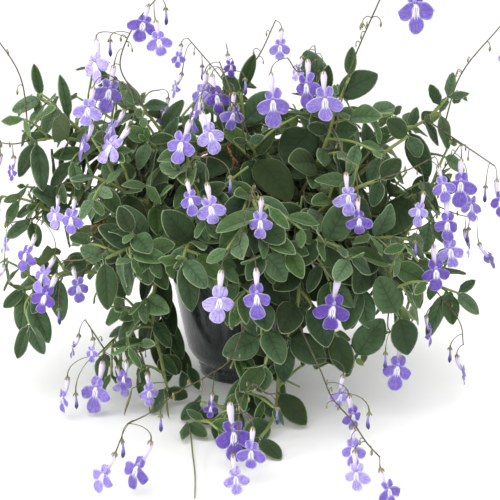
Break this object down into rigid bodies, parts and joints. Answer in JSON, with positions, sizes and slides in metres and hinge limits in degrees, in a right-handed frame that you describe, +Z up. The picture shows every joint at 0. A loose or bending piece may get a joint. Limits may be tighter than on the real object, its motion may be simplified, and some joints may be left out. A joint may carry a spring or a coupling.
{
  "type": "potted trailing cape primrose",
  "caption": "Trailing cape primrose with felted oval leaves and lilac flowers on wiry stalks, spilling over a dark tapered nursery pot that stands on its base.",
  "frame": {"origin": "centre of the flat underside of the pot", "axes": "+Z up, -Y toward the side that the picture shows, +X to the viewer's right"},
  "size_m": [0.422, 0.4437, 0.3386],
  "materials": {
    "pot_plastic": "satin moulded plastic",
    "compost": "coarse peat and bark compost",
    "blossom": "soft matt petals",
    "foliage": "felted leaves and fleshy stems"
  },
  "bodies": {
    "root": {"pot": "pot_plastic", "soil": "compost", "spray_crown_left": "blossom", "spray_crown_middle": "blossom", "spray_crown_front": "blossom", "spray_crown_right": "blossom", "spray_front_left_high": "blossom", "spray_front_left": "blossom", "spray_front_middle": "blossom", "spray_inner_right": "blossom", "spray_front_right_low": "blossom", "spray_right_high": "blossom", "spray_right_middle": "blossom", "spray_right_low": "blossom", "spray_right_edge": "blossom", "spray_right_long": "blossom", "spray_right_bottom": "blossom", "spray_right_side": "blossom", "spray_trail_right": "blossom", "spray_trail_front": "blossom", "spray_trail_left": "blossom", "spray_low_left_front": "blossom", "spray_low_left_pale": "blossom", "spray_left_middle": "blossom", "spray_left_upper": "blossom", "spray_left_inner": "blossom", "spray_left_edge": "blossom", "spray_back_left": "blossom", "spray_back_middle": "blossom", "spray_back_right": "blossom", "spray_back_high": "blossom", "stem_crown_left": "foliage", "stem_crown_middle": "foliage", "stem_crown_right": "foliage", "stem_inner_right": "foliage", "stem_high_left": "foliage", "stem_high_right": "foliage", "stem_high_right_front": "foliage", "stem_mid_left": "foliage", "stem_mid_left_front": "foliage", "stem_front_left": "foliage", "stem_front_middle": "foliage", "stem_front_right": "foliage", "stem_mid_right": "foliage", "stem_low_left": "foliage", "stem_low_left_front": "foliage", "stem_front_left_low": "foliage", "stem_front_right_low": "foliage", "stem_low_right": "foliage", "stem_low_right_front": "foliage", "stem_hang_front": "foliage", "stem_hang_front_right": "foliage", "stem_hang_left": "foliage", "stem_floor_left": "foliage", "stem_floor_front": "foliage", "stem_back_left": "foliage", "stem_back_middle": "foliage", "stem_back_right": "foliage", "stem_back_low_left": "foliage", "stem_back_low_right": "foliage"}
  },
  "joints": []
}
